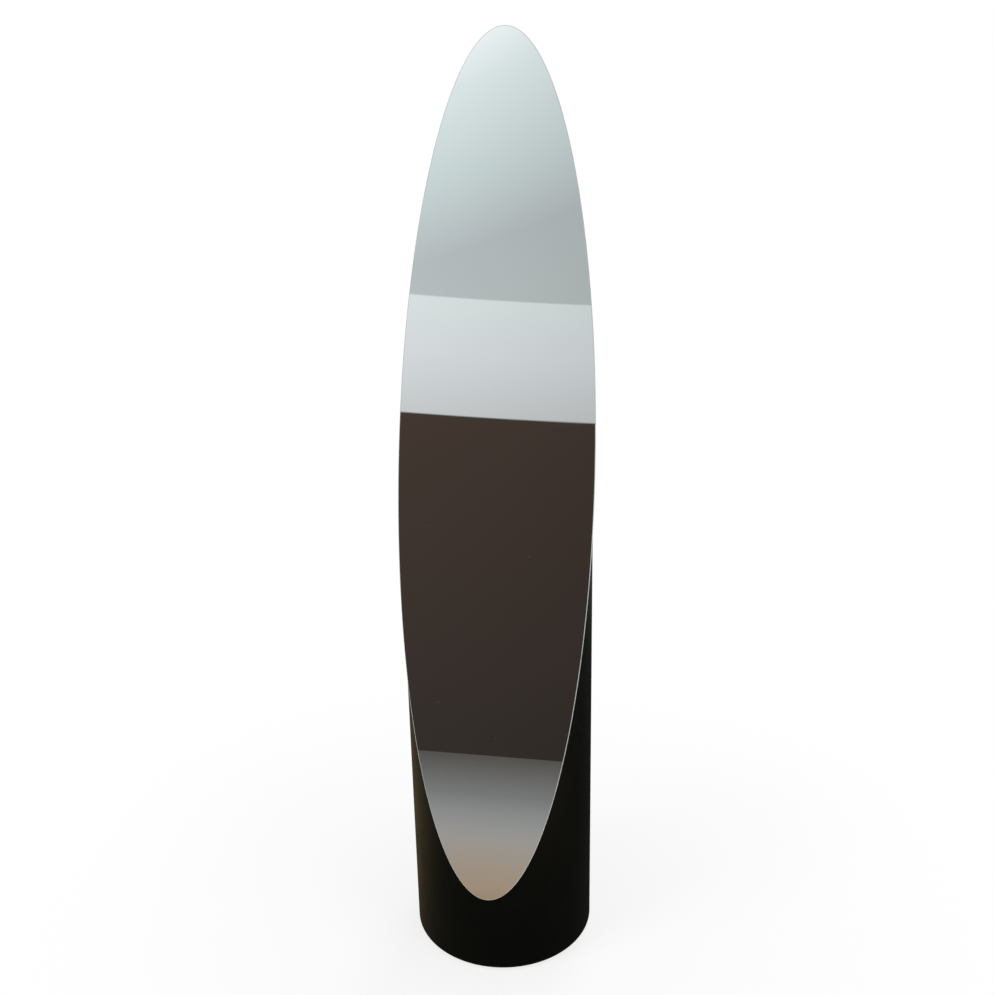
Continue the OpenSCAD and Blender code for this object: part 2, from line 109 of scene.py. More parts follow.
class Shader:
    """Adds and links the nodes of one material, world or node group."""

    def __init__(self, tree: bpy.types.NodeTree) -> None:
        """Start on a tree, with none of the nodes that it has."""
        self.tree = tree
        tree.nodes.clear()

    def feed(self, socket: Socket, value: Any) -> None:
        """Link a socket to an input, or set the input to a constant.

        Args:
            socket: The input.
            value: A socket, a number, a vector or a colour.
        """
        if isinstance(value, bpy.types.NodeSocket):
            self.tree.links.new(value, socket)
        elif socket.type == "RGBA" and len(value) == 3:
            socket.default_value = (*value, 1.0)
        else:
            socket.default_value = value

    def add(self, kind: str, inputs: dict[str | int, Any] | None = None, **settings: Any) -> bpy.types.Node:
        """Add a node.

        Args:
            kind: The node's type, such as ShaderNodeTexNoise.
            inputs: What its inputs get, by name or number.
            **settings: The node's own properties.

        Returns:
            The node.
        """
        node = self.tree.nodes.new(kind)
        for name, value in settings.items():
            setattr(node, name, value)
        for key, value in (inputs or {}).items():
            self.feed(node.inputs[key], value)
        return node

    def math(self, operation: str, a: Any, b: Any = 0.0, clamp: bool = False) -> Socket:
        """Work out one number from one or two others."""
        return self.add("ShaderNodeMath", {0: a, 1: b}, operation=operation, use_clamp=clamp).outputs[0]

    def times(self, a: Any, b: Any) -> Socket:
        """Multiply two numbers."""
        return self.math("MULTIPLY", a, b)

    def plus(self, a: Any, b: Any, clamp: bool = False) -> Socket:
        """Add two numbers, and keep the sum between 0 and 1 if it is clamped."""
        return self.math("ADD", a, b, clamp)

    def higher(self, a: Any, b: Any) -> Socket:
        """The higher of two numbers."""
        return self.math("MAXIMUM", a, b)

    def rest(self, a: Any) -> Socket:
        """What a number leaves of 1."""
        return self.math("SUBTRACT", 1.0, a)

    def along(self, vector: Socket, axis: str) -> Socket:
        """How far a vector goes along X, Y or Z."""
        return self.add("ShaderNodeSeparateXYZ", {0: vector}).outputs[axis]

    def first(self, colour: Socket) -> Socket:
        """A colour's first channel."""
        return self.add("ShaderNodeSeparateColor", {0: colour}).outputs[0]

    def span(self, value: Any, low: Any, high: Any, to_low: float = 0.0, to_high: float = 1.0) -> Socket:
        """Turn the range of a value from low to high into another range, with soft ends."""
        inputs = {"Value": value, "From Min": low, "From Max": high, "To Min": to_low, "To Max": to_high}
        return self.add("ShaderNodeMapRange", inputs, interpolation_type="SMOOTHSTEP").outputs[0]

    def mix(self, factor: Any, a: Any, b: Any, blend: str = "MIX") -> Socket:
        """Mix two colours, from a at factor 0 to b at factor 1."""
        node = self.add("ShaderNodeMix", {0: factor, 6: a, 7: b}, data_type="RGBA", blend_type=blend)
        return node.outputs[2]

    def stain(self, shade: Any, over: Any, value: Any, *fade: float) -> Socket:
        """Lay a colour over a shade, as strongly as the span of a value says."""
        return self.mix(self.span(value, *fade), shade, over)

    def ramp(self, value: Any, stops: Iterable[tuple[float, Colour]], curve: str = "LINEAR") -> Socket:
        """Run a number through a row of colours.

        Args:
            value: The number that is read.
            stops: Places between 0 and 1, each with its colour.
            curve: How the colours run into each other, such as LINEAR or B_SPLINE.

        Returns:
            The colour's socket.
        """
        node = self.add("ShaderNodeValToRGB", {"Fac": value})
        node.color_ramp.interpolation = curve
        stops = list(stops)
        handles = node.color_ramp.elements
        while len(handles) < len(stops):
            handles.new(1.0)
        for handle, (place, colour) in zip(handles, stops):
            handle.position = place
            handle.color = (*colour, 1.0)
        return node.outputs["Color"]

    def coords(self, output: str = "Object") -> Socket:
        """Texture coordinates of the piece, in its own space."""
        return self.add("ShaderNodeTexCoord").outputs[output]

    def turned(self, vector: Socket, turn: Iterable[float] = (0, 0, 0), scale: Iterable[float] = (1, 1, 1),
               kind: str = "POINT") -> Socket:
        """Turn and stretch coordinates.

        Args:
            vector: The coordinates.
            turn: The turn about X, Y and Z, in radians.
            scale: The stretch along X, Y and Z, after the turn.
            kind: What the vector is: POINT, or NORMAL for a direction.

        Returns:
            The new coordinates' socket.
        """
        inputs = {"Vector": vector, "Rotation": tuple(turn)}
        turned = self.add("ShaderNodeMapping", inputs, vector_type=kind).outputs[0]
        if tuple(scale) == (1, 1, 1):
            return turned
        return self.add("ShaderNodeMapping", {"Vector": turned, "Scale": tuple(scale)}).outputs[0]

    def noise(self, vector: Socket, scale: Any, detail: float = 3.0, rough: float = 0.5,
              swirl: float = 0.0) -> Socket:
        """Cloudy noise between 0 and 1, of about scale clouds in a metre, with finer layers over them."""
        layers = {"Detail": detail, "Roughness": rough, "Distortion": swirl}
        return self.add("ShaderNodeTexNoise", {"Vector": vector, "Scale": scale} | layers).outputs[0]

    def cells(self, vector: Socket, scale: Any) -> Outputs:
        """The Distance and Color of scattered cells, of which scale go in a metre."""
        return self.add("ShaderNodeTexVoronoi", {"Vector": vector, "Scale": scale}).outputs

    def dots(self, vector: Socket, scale: Any, size: Range, few: Range) -> Socket:
        """Scattered round dots, in some of the cells.

        Args:
            vector: The coordinates.
            scale: How many cells go in a metre.
            size: Where a dot starts to fade and where it ends, as shares of a cell.
            few: The random level from which a cell shows its dot, and the one at which it shows it whole.

        Returns:
            The mask's socket.
        """
        cell = self.cells(vector, scale)
        dot = self.span(cell["Distance"], *size, 1.0, 0.0)
        return self.times(dot, self.span(self.first(cell["Color"]), *few))

    def bump(self, height: Socket, depth: float, under: Socket | None = None) -> Socket:
        """Turn a height into a shading normal.

        Args:
            height: The height between 0 and 1.
            depth: The real height of 1, in metres.
            under: A normal that this one goes over.

        Returns:
            The normal's socket.
        """
        inputs = {"Height": height, "Distance": depth, "Strength": 1.0}
        if under is not None:
            inputs["Normal"] = under
        return self.add("ShaderNodeBump", inputs).outputs[0]

    def light(self, kind: str, colour: Any, strength: Any = 1.0) -> Socket:
        """A shader that shines: Emission on a surface, or Background in a world."""
        return self.add(f"ShaderNode{kind}", {"Color": colour, "Strength": strength}).outputs[0]

    def either(self, mask: Socket, a: Socket, b: Socket) -> Socket:
        """Show shader a where a mask is 0, and shader b where it is 1."""
        return self.add("ShaderNodeMixShader", {0: mask, 1: a, 2: b}).outputs[0]

    def rays(self) -> tuple[Socket, Socket]:
        """Masks of the camera's own rays, and of those that something glossy or clear has turned."""
        kinds = self.add("ShaderNodeLightPath").outputs
        return kinds["Is Camera Ray"], self.higher(kinds["Is Glossy Ray"], kinds["Is Transmission Ray"])


class Effect(Shader):
    """The nodes of one shared effect: a node group that reads coordinates and a few numbers."""

    def __init__(self, name: str, **numbers: float) -> None:
        """Start the node group.

        Args:
            name: Its name.
            **numbers: The numbers that it reads, with their usual values.
        """
        super().__init__(bpy.data.node_groups.new(name, "ShaderNodeTree"))
        self.tree.interface.new_socket("Vector", in_out="INPUT", socket_type="NodeSocketVector")
        for number, usual in numbers.items():
            socket = self.tree.interface.new_socket(number, in_out="INPUT", socket_type="NodeSocketFloat")
            socket.default_value = usual
        self.given = self.add("NodeGroupInput").outputs

    def put_out(self, **values: Socket) -> bpy.types.NodeTree:
        """Finish the node group.

        Args:
            **values: What it puts out.

        Returns:
            The group.
        """
        for name in values:
            self.tree.interface.new_socket(name, in_out="OUTPUT", socket_type="NodeSocketFloat")
        self.add("NodeGroupOutput", values)
        return self.tree


class Effects:
    """Surface effects that more than one finish uses, each a node group that is built once."""

    def __init__(self) -> None:
        """Build all the effects."""
        self.scratches = self._scratches()
        self.dust = self._dust()
        self.grain = self._grain()
        self.edges = self._edges()

    def _scratches(self) -> bpy.types.NodeTree:
        """Fine straight hairlines in patches, and the soft smears of wiping, on flat coordinates.

        Returns:
            The node group.
        """
        build = Effect("scratches and smears", Scale=20.0, Width=0.004)
        vector, scale = build.given["Vector"], build.given["Scale"]
        lines = []
        for turn in (0.25, 1.2, 2.3):
            pulled = build.turned(vector, (0.0, 0.0, turn), (1.0, 0.004, 1.0))
            off = build.math("SUBTRACT", build.noise(pulled, scale, detail=1.0), 0.5)
            lines.append(build.span(build.math("ABSOLUTE", off), 0.0, build.given["Width"], 1.0, 0.0))
        patches = build.span(build.noise(vector, build.times(scale, 0.12)), 0.5, 0.75)
        wiped = build.turned(vector, (0.0, 0.0, 0.4), (1.0, 0.35, 1.0))
        smears = build.noise(wiped, build.times(scale, 0.5), detail=4.0, swirl=1.2)
        return build.put_out(Scratches=build.times(reduce(build.higher, lines), patches),
                             Smears=build.span(smears, 0.42, 0.72))

    def _dust(self) -> bpy.types.NodeTree:
        """Dust that lies on what faces up, and a few specks everywhere.

        Returns:
            The node group.
        """
        build = Effect("dust", Specks=260.0)
        vector = build.given["Vector"]
        lying = build.span(build.along(build.coords("Normal"), "Z"), 0.2, 0.95)
        cloud = build.span(build.noise(vector, 45.0, detail=5.0), 0.35, 0.75)
        specks = build.dots(vector, build.given["Specks"], size=(0.06, 0.12), few=(0.86, 0.9))
        return build.put_out(Dust=build.higher(build.times(lying, cloud), specks))

    def _grain(self) -> bpy.types.NodeTree:
        """Wood grain along local Y: year rings, fine fibres and dark pores.

        Returns:
            The node group.
        """
        build = Effect("wood grain", Rings=70.0, Bend=0.05, Fibres=1400.0)
        vector, fine = build.given["Vector"], build.given["Fibres"]
        bend = build.noise(build.turned(vector, scale=(1.0, 0.06, 1.0)), 9.0, detail=2.0)
        across = build.plus(build.along(vector, "X"), build.times(build.along(vector, "Z"), 0.35))
        across = build.plus(across, build.times(bend, build.given["Bend"]))
        ring = build.math("FRACT", build.times(across, build.given["Rings"]))
        rings = build.times(build.span(ring, 0.05, 0.82), build.span(ring, 0.86, 1.0, 1.0, 0.0))
        fibres = build.noise(build.turned(vector, scale=(1.0, 0.02, 1.0)), fine, rough=0.6)
        pores = build.noise(build.turned(vector, scale=(1.0, 0.09, 1.0)), fine, detail=1.0)
        return build.put_out(Rings=rings, Fibres=fibres, Pores=build.span(pores, 0.66, 0.72))

    def _edges(self) -> bpy.types.NodeTree:
        """Where a piece has an edge within a radius, broken up as wear is.

        Returns:
            The node group.
        """
        build = Effect("edge wear", Radius=0.8 * MM, Patches=120.0)
        rounded = build.add("ShaderNodeBevel", {"Radius": build.given["Radius"]}, samples=6).outputs[0]
        normals = {0: rounded, 1: build.add("ShaderNodeNewGeometry").outputs["Normal"]}
        same = build.add("ShaderNodeVectorMath", normals, operation="DOT_PRODUCT").outputs["Value"]
        patches = build.noise(build.given["Vector"], build.given["Patches"], detail=5.0)
        edge = build.span(same, 0.9, 0.985, 1.0, 0.0)
        return build.put_out(Edge=build.times(edge, build.span(patches, 0.4, 0.62)))


class Surface(Shader):
    """The nodes of one of the object's own materials, with the shared effects at hand."""

    def __init__(self, material: bpy.types.Material, effects: Effects) -> None:
        """Start a material.

        Args:
            material: The material.
            effects: The shared effects.
        """
        super().__init__(bare_tree(material))
        self.effects = effects
        self.shader = self.add("ShaderNodeBsdfPrincipled")
        self.add("ShaderNodeOutputMaterial", {"Surface": self.shader.outputs["BSDF"]})

    def effect(self, group: bpy.types.NodeTree, **inputs: Any) -> Outputs:
        """Place a shared effect, with what its inputs get."""
        return self.add("ShaderNodeGroup", inputs, node_tree=group).outputs

    def give(self, colour: Any, roughness: Any, normal: Socket | None = None, metallic: Any = 0.0) -> None:
        """Feed the shader.

        Args:
            colour: The base colour.
            roughness: The roughness.
            normal: The shading normal, where the surface isn't smooth.
            metallic: How much of the surface is metal.
        """
        looks = {"Base Color": colour, "Roughness": roughness, "Metallic": metallic}
        if normal is not None:
            looks["Normal"] = normal
        for name, value in looks.items():
            self.feed(self.shader.inputs[name], value)


# ---------- finishes ----------


@dataclass(frozen=True)
class Finish:
    """How one kind of surface looks. Each subclass paints its own nodes."""

    label: str
    colour: Colour
    roughness: float = 0.5
    specular: float = 0.5

    def paint(self, build: Surface) -> None:
        """Add the nodes that change over the surface."""
        raise NotImplementedError

    def material(self, effects: Effects) -> bpy.types.Material:
        """Build the material.

        Args:
            effects: The shared effects.

        Returns:
            The finished material.
        """
        material = bpy.data.materials.new(self.label)
        build = Surface(material, effects)
        build.feed(build.shader.inputs["Specular IOR Level"], self.specular)
        self.paint(build)
        return material


@dataclass(frozen=True)
class BlackLaminate(Finish):
    """Semi-gloss black laminate with a slight orange peel, wipe marks and a scuffed lower rim."""

    core: Colour = (0.06, 0.045, 0.032)
    dust: Colour = (0.09, 0.085, 0.075)
    peel: float = 0.012 * MM
    wave: float = 0.12 * MM
    scratch: float = 0.006 * MM
    scuff_h: float = 6 * MM
    rim_z: float = 0.0
    wall_r: float = 1.0

    def paint(self, build: Surface) -> None:
        """Add peel, smears, hairlines, dust and rim scuffs.

        Args:
            build: The surface's builder.
        """
        vector = build.coords()
        height = build.along(vector, "Z")
        forwards = build.times(build.along(vector, "Y"), -1.0)
        round_wall = build.times(build.math("ARCTAN2", build.along(vector, "X"), forwards), self.wall_r)
        unrolled = build.add("ShaderNodeCombineXYZ", {0: round_wall, 1: height}).outputs[0]
        marks = build.effect(build.effects.scratches, Vector=unrolled, Scale=60.0, Width=0.0025)
        dust = build.effect(build.effects.dust, Vector=vector, Specks=210.0)["Dust"]
        low = build.span(height, self.rim_z, self.rim_z + self.scuff_h, 1.0, 0.0)
        scuff = build.times(low, build.span(build.noise(vector, 190.0, detail=6.0, rough=0.65), 0.5, 0.64))
        shade = build.mix(build.times(scuff, 0.8), self.colour, self.core)
        shade = build.mix(build.times(dust, 0.22), shade, self.dust)
        shade = build.mix(build.times(marks["Scratches"], 0.07), shade, self.dust)
        dull = build.plus(build.times(marks["Smears"], 0.07), build.times(build.higher(scuff, dust), 0.3))
        peel = build.bump(build.noise(vector, 420.0, detail=2.0), self.peel)
        waves = build.bump(build.noise(vector, 22.0, detail=1.0), self.wave, peel)
        scratched = build.bump(build.rest(marks["Scratches"]), self.scratch, waves)
        build.give(shade, build.plus(dull, self.roughness, clamp=True), scratched)


@dataclass(frozen=True)
class RawBoard(Finish):
    """The bare fibreboard that the tube is rolled from, as its inside and its cut edge show it."""

    fibre: Colour = (0.2, 0.13, 0.075)

    def paint(self, build: Surface) -> None:
        """Add matted fibres and slow stains.

        Args:
            build: The surface's builder.
        """
        vector = build.coords()
        flat = build.turned(vector, scale=(1.0, 1.0, 0.4))
        mat = build.noise(flat, 900.0, detail=6.0, rough=0.7, swirl=0.8)
        shade = build.stain(self.colour, self.fibre, mat, 0.35, 0.7)
        shade = build.stain(shade, self.fibre, build.noise(vector, 14.0, detail=4.0), 0.4, 0.8, 0.0, 0.35)
        build.give(shade, build.span(mat, 0.2, 0.8, self.roughness, 0.95), build.bump(mat, 0.08 * MM))


@dataclass(frozen=True)
class Silvering(Finish):
    """The mirror's face: bright silver behind clear glass, with faint wipe marks and specks of dust."""

    dust: Colour = (0.55, 0.55, 0.52)

    def paint(self, build: Surface) -> None:
        """Add specks and a trace of smearing.

        Args:
            build: The surface's builder.
        """
        vector = build.coords()
        smears = build.effect(build.effects.scratches, Vector=vector, Scale=18.0, Width=0.001)["Smears"]
        speck = build.dots(vector, 95.0, size=(0.02, 0.045), few=(0.9, 0.93))
        dull = build.plus(build.times(smears, 0.012), build.times(speck, 0.4))
        build.give(build.mix(speck, self.colour, self.dust), build.plus(dull, self.roughness),
                   metallic=build.rest(build.times(speck, 0.7)))


@dataclass(frozen=True)
class GroundGlass(Finish):
    """The glass's ground edge: fine grinding lines, pale, with the green of thick glass."""

    deep: Colour = (0.34, 0.44, 0.4)

    def paint(self, build: Surface) -> None:
        """Add grinding lines and cloudy depth.

        Args:
            build: The surface's builder.
        """
        vector = build.coords()
        lines = build.noise(build.turned(vector, scale=(1.0, 0.2, 0.2)), 1500.0, detail=2.0)
        shade = build.stain(self.colour, self.deep, build.noise(vector, 60.0), 0.3, 0.75, 0.0, 0.3)
        shade = build.stain(shade, self.deep, lines, 0.4, 0.75, 0.0, 0.2)
        build.give(shade, build.span(lines, 0.3, 0.7, self.roughness, 0.5), build.bump(lines, 0.01 * MM))


@dataclass(frozen=True)
class BackingPaint(Finish):
    """The grey paint that protects the silver from behind, flowed on in a curtain."""

    speck: Colour = (0.12, 0.13, 0.14)

    def paint(self, build: Surface) -> None:
        """Add flow lines and specks.

        Args:
            build: The surface's builder.
        """
        vector = build.coords()
        flow = build.noise(build.turned(vector, scale=(1.0, 0.1, 0.1)), 160.0, detail=4.0)
        speck = build.span(build.noise(vector, 1500.0, detail=2.0), 0.62, 0.7)
        shade = build.mix(build.times(speck, 0.6), self.colour, self.speck)
        build.give(shade, build.span(flow, 0.3, 0.7, self.roughness, 0.7), build.bump(flow, 0.06 * MM))


@dataclass(frozen=True)
class Mastic(Finish):
    """Cured mirror mastic, pressed flat, with trapped air and a skin."""

    def paint(self, build: Surface) -> None:
        """Add ripples and pinholes.

        Args:
            build: The surface's builder.
        """
        vector = build.coords()
        ripples = build.noise(vector, 130.0, swirl=1.5)
        pins = build.span(build.cells(vector, 420.0)["Distance"], 0.1, 0.2)
        shade = build.stain(self.colour, scaled(self.colour, 0.72), ripples, 0.4, 0.8)
        skin = build.bump(pins, 0.2 * MM, build.bump(ripples, 0.5 * MM))
        build.give(shade, build.span(ripples, 0.3, 0.8, self.roughness, 0.75), skin)


@dataclass(frozen=True)
class Softwood(Finish):
    """Planed softwood with year rings and fibres."""

    late: Colour = (0.42, 0.24, 0.1)
    grain: Grain = Grain.UPRIGHT

    def paint(self, build: Surface) -> None:
        """Add the grain along the piece's own direction.

        Args:
            build: The surface's builder.
        """
        vector = build.turned(build.coords(), self.grain.value)
        wood = build.effect(build.effects.grain, Vector=vector, Rings=160.0, Fibres=1300.0)
        fibres = wood["Fibres"]
        shade = build.stain(self.colour, self.late, wood["Rings"], 0.2, 1.0, 0.0, 0.65)
        shade = build.stain(shade, self.late, fibres, 0.35, 0.7, 0.0, 0.3)
        rough = build.span(fibres, 0.3, 0.7, self.roughness, 0.75)
        build.give(shade, rough, build.bump(fibres, 0.08 * MM))


@dataclass(frozen=True)
class Plywood(Finish):
    """Bare plywood: veneer with pores on its faces, and layers on its edges."""

    dark: Colour = (0.3, 0.17, 0.08)
    lean: float = 0.0
    ply: float = 1.4 * MM
    grain: Grain = Grain.BACKWARDS

    def paint(self, build: Surface) -> None:
        """Add veneer where the sheet's face shows and layers where its edge does.

        Args:
            build: The surface's builder.
        """
        tilt = (-self.lean, 0.0, 0.0)
        vector = build.turned(build.coords(), tilt)
        facing = build.along(build.turned(build.coords("Normal"), tilt, kind="NORMAL"), "Z")
        on_edge = build.span(build.math("ABSOLUTE", facing), 0.4, 0.7, 1.0, 0.0)
        layer = build.math("PINGPONG", build.along(vector, "Z"), self.ply)
        layer = build.span(layer, 0.35 * self.ply, 0.65 * self.ply)
        veneer = build.turned(vector, self.grain.value)
        wood = build.effect(build.effects.grain, Vector=veneer, Rings=46.0, Bend=0.42, Fibres=1100.0)
        face = build.stain(self.colour, self.dark, wood["Rings"], 0.1, 1.0, 0.0, 0.3)
        face = build.mix(build.times(wood["Pores"], 0.6), face, self.dark)
        ends = build.noise(build.turned(vector, scale=(1.0, 1.0, 0.5)), 1500.0, detail=4.0, rough=0.7)
        edge = build.mix(build.times(layer, 0.75), self.colour, self.dark)
        edge = build.stain(edge, self.dark, ends, 0.45, 0.75, 0.0, 0.4)
        height = build.plus(wood["Fibres"], build.times(layer, on_edge))
        build.give(build.mix(on_edge, face, edge), build.span(ends, 0.3, 0.7, self.roughness, 0.85),
                   build.bump(height, 0.06 * MM))


@dataclass(frozen=True)
class Chipboard(Finish):
    """Raw chipboard: pressed chips of many shades, finer at the faces than on the edge."""

    dark: Colour = (0.28, 0.18, 0.095)
    pale: Colour = (0.68, 0.54, 0.36)

    def paint(self, build: Surface) -> None:
        """Add two sizes of chips, flattened into the board.

        Args:
            build: The surface's builder.
        """
        vector = build.turned(build.coords(), scale=(1.0, 1.0, 2.6))
        clouds = build.add("ShaderNodeTexNoise", {"Vector": vector, "Scale": 55.0, "Detail": 2.0})
        vector = build.mix(0.012, vector, clouds.outputs[1], "ADD")
        big, small = build.cells(vector, 430.0), build.cells(vector, 1050.0)
        value = build.plus(build.times(build.first(big["Color"]), 0.6),
                           build.times(build.first(small["Color"]), 0.4))
        shade = build.ramp(value, ((0.12, self.dark), (0.42, self.colour), (0.85, self.pale)))
        height = build.plus(big["Distance"], value)
        build.give(shade, build.span(value, 0.2, 0.8, 0.85, self.roughness), build.bump(height, 0.16 * MM))


@dataclass(frozen=True)
class CastConcrete(Finish):
    """Fine cast concrete with air holes and a mottled skin."""

    def paint(self, build: Surface) -> None:
        """Add mottling, sand and air holes, darkened inside with painted shade.

        Args:
            build: The surface's builder.
        """
        vector = build.coords()
        mottle = build.noise(vector, 18.0, detail=6.0, rough=0.6)
        sand = build.noise(vector, 1300.0, detail=2.0, rough=0.7)
        hole = build.dots(vector, 150.0, size=(0.1, 0.2), few=(0.6, 0.75))
        # dark for the sand, and painted shade in the air holes
        dark = scaled(self.colour, 0.45)
        shade = build.stain(self.colour, scaled(self.colour, 1.35), mottle, 0.3, 0.75)
        shade = build.stain(shade, dark, sand, 0.6, 0.75, 0.0, 0.4)
        rough = build.span(mottle, 0.3, 0.8, self.roughness, 0.95)
        pitted = build.bump(build.rest(hole), 0.6 * MM, build.bump(sand, 0.12 * MM))
        # the air holes are darkened with painted shade in their recesses
        build.give(build.mix(hole, shade, dark), rough, pitted)


@dataclass(frozen=True)
class ZincPlate(Finish):
    """Bright zinc plating on stamped and turned steel, a little cloudy, with bare worn edges."""

    warm: Colour = (0.62, 0.58, 0.46)
    worn: Colour = (0.82, 0.82, 0.8)

    def paint(self, build: Surface) -> None:
        """Add spangle, cloudy passivation and edges rubbed bright.

        Args:
            build: The surface's builder.
        """
        vector = build.coords()
        cloud = build.noise(vector, 90.0, detail=4.0, swirl=0.8)
        spangle = build.first(build.cells(vector, 700.0)["Color"])
        wear = build.effect(build.effects.edges, Vector=vector, Radius=0.5 * MM, Patches=300.0)["Edge"]
        shade = build.mix(wear, build.stain(self.colour, self.warm, cloud, 0.4, 0.75, 0.0, 0.7), self.worn)
        rough = build.plus(build.span(cloud, 0.3, 0.8, 0.0, 0.14), build.times(spangle, 0.08))
        rough = build.math("SUBTRACT", build.plus(rough, self.roughness), build.times(wear, 0.1))
        fine = build.bump(build.noise(vector, 1800.0), 0.012 * MM)
        build.give(shade, rough, fine, metallic=1.0)


@dataclass(frozen=True)
class MouldedNylon(Finish):
    """Moulded black nylon with a fine spark texture, greyed edges and a film of floor dust."""

    rubbed: Colour = (0.075, 0.073, 0.068)
    dust: Colour = (0.2, 0.185, 0.16)
    dusty: float = 0.25
    tread: bool = False

    def paint(self, build: Surface) -> None:
        """Add moulded texture, rubbed edges and dust, with a dull running band on a wheel's tread.

        Args:
            build: The surface's builder.
        """
        vector = build.coords()
        spark = build.noise(vector, 2600.0, detail=2.0, rough=0.6)
        wear = build.effect(build.effects.edges, Vector=vector, Radius=0.6 * MM, Patches=260.0)["Edge"]
        cloud = build.span(build.noise(vector, 110.0, detail=5.0), 0.42, 0.72)
        lying = build.effect(build.effects.dust, Vector=vector, Specks=500.0)["Dust"]
        film = build.times(build.higher(cloud, lying), self.dusty)
        if self.tread:
            side = build.math("ABSOLUTE", build.along(build.coords("Normal"), "X"))
            band = build.span(side, 0.15, 0.4, 1.0, 0.0)
            rings = build.noise(build.turned(vector, scale=(1.0, 0.06, 0.06)), 1500.0, swirl=0.4)
            film = build.higher(film, build.times(band, build.span(rings, 0.3, 0.75, 0.15, 0.55)))
        shade = build.mix(build.times(wear, 0.6), self.colour, self.rubbed)
        rough = build.plus(build.plus(build.times(film, 0.35), self.roughness), build.times(spark, 0.1))
        build.give(build.mix(film, shade, self.dust), rough, build.bump(spark, 0.03 * MM))


# ---------- modelling by hand ----------


def start_clean() -> None:
    """Leave edit mode and select nothing."""
    if bpy.context.object and bpy.context.object.mode != "OBJECT":
        bpy.ops.object.mode_set(mode="OBJECT")
    bpy.ops.object.select_all(action="DESELECT")


def select_only(piece: bpy.types.Object) -> None:
    """Select one piece, and make it the active one.

    Args:
        piece: The object.
    """
    start_clean()
    piece.select_set(True)
    bpy.context.view_layer.objects.active = piece


def edit(mode: str) -> None:
    """Go into edit mode, to select by VERT, EDGE or FACE."""
    bpy.ops.object.mode_set(mode="EDIT")
    bpy.ops.mesh.select_mode(type=mode)


def choose(piece: bpy.types.Object, kind: str, test: Callable[[Any], bool]) -> None:
    """In edit mode, select only what passes a test.

    Args:
        piece: The object that is edited.
        kind: verts, edges or faces.
        test: Says whether an element is wanted.
    """
    bpy.ops.mesh.select_all(action="DESELECT")
    grid = bmesh.from_edit_mesh(piece.data)
    for element in [element for element in getattr(grid, kind) if test(element)]:
        element.select_set(True)
    bmesh.update_edit_mesh(piece.data)


def middle(element: Any) -> Vector:
    """The middle of an edge or a face."""
    return sum((corner.co for corner in element.verts), Vector()) / len(element.verts)


def settle(piece: bpy.types.Object) -> None:
    """Apply a piece's place, turn and scale to its mesh, so that its object ends at the origin."""
    select_only(piece)
    bpy.ops.object.transform_apply(location=True, rotation=True, scale=True)


def seal_edges(piece: bpy.types.Object) -> None:
    """Shade a finished piece smooth, but sharp at its sharp edges and wherever its finish changes.

    Args:
        piece: The object.
    """
    select_only(piece)
    bpy.ops.object.shade_smooth_by_angle(angle=SHARP)
    finishes: dict[tuple[int, int], set[int]] = {}
    for face in piece.data.polygons:
        for key in face.edge_keys:
            finishes.setdefault(key, set()).add(face.material_index)
    for edge in piece.data.edges:
        if len(finishes.get(tuple(sorted(edge.vertices)), ())) > 1:
            edge.use_edge_sharp = True


def soften(piece: bpy.types.Object, width: float) -> None:
    """Break a node's sharp edges with modifiers, which leave its mesh as it is.

    Args:
        piece: The node's object.
        width: Width of the broken edge.
    """
    weld = piece.modifiers.new("weld", "WELD")
    weld.merge_threshold = ONE_CORNER
    edge = piece.modifiers.new("broken edges", "BEVEL")
    edge.width = width
    edge.segments = 2
    edge.limit_method = "ANGLE"
    edge.angle_limit = BROKEN
    edge.use_clamp_overlap = True
    edge.harden_normals = True


class Paintshop:
    """Builds each finish once and puts finishes on pieces."""

    def __init__(self) -> None:
        """Open the shop with its shared effects and no materials."""
        self.effects = Effects()
        self.made: dict[Finish, bpy.types.Material] = {}

    def cover(self, piece: bpy.types.Object, *finishes: Finish) -> None:
        """Give a piece its finishes, in the order of its material slots.

        Args:
            piece: The object.
            *finishes: One finish for each slot. The last one also goes on any slots that are left.
        """
        places = piece.data.materials
        while len(places) < len(finishes):
            places.append(None)
        for index in range(len(places)):
            finish = finishes[min(index, len(finishes) - 1)]
            if finish not in self.made:
                self.made[finish] = finish.material(self.effects)
            places[index] = self.made[finish]

    def dress(self, finish: Finish, *names: str, broken: float = 0.0) -> None:
        """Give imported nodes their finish, and break their edges.

        Args:
            finish: The finish.
            *names: The nodes.
            broken: Width of the broken edges, or 0 where they stay sharp.
        """
        for name in names:
            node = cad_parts[name]
            self.cover(node, finish)
            if broken:
                soften(node, broken)


# ---------- sub-assemblies ----------


@dataclass(frozen=True)
class SlantCut:
    """The slanted plane that the tube is cut on, with the mirror glass lying on it."""

    centre: Vector
    out: Vector
    half_width: float
    half_length: float
    glass_t: float

    @classmethod
    def from_frame(cls) -> "SlantCut":
        """Read the plane from the glass of the frame.

        Returns:
            The plane and the glass's sizes.
        """
        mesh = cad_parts["mirror_glass"].data
        out = max(mesh.polygons, key=lambda face: face.area * (face.normal.y < 0)).normal.copy()
        up = Vector((0.0, out.z, -out.y))
        depths = [corner.co.dot(out) for corner in mesh.vertices]
        heights = [corner.co.dot(up) for corner in mesh.vertices]
        low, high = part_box("mirror_glass")
        centre = out * min(depths) + up * (max(heights) + min(heights)) / 2
        return cls(centre, out, (high.x - low.x) / 2, (max(heights) - min(heights)) / 2,
                   max(depths) - min(depths))

    @property
    def lean(self) -> float:
        """Steepness of the plane above the horizontal, in radians."""
        return math.atan2(-self.out.y, self.out.z)


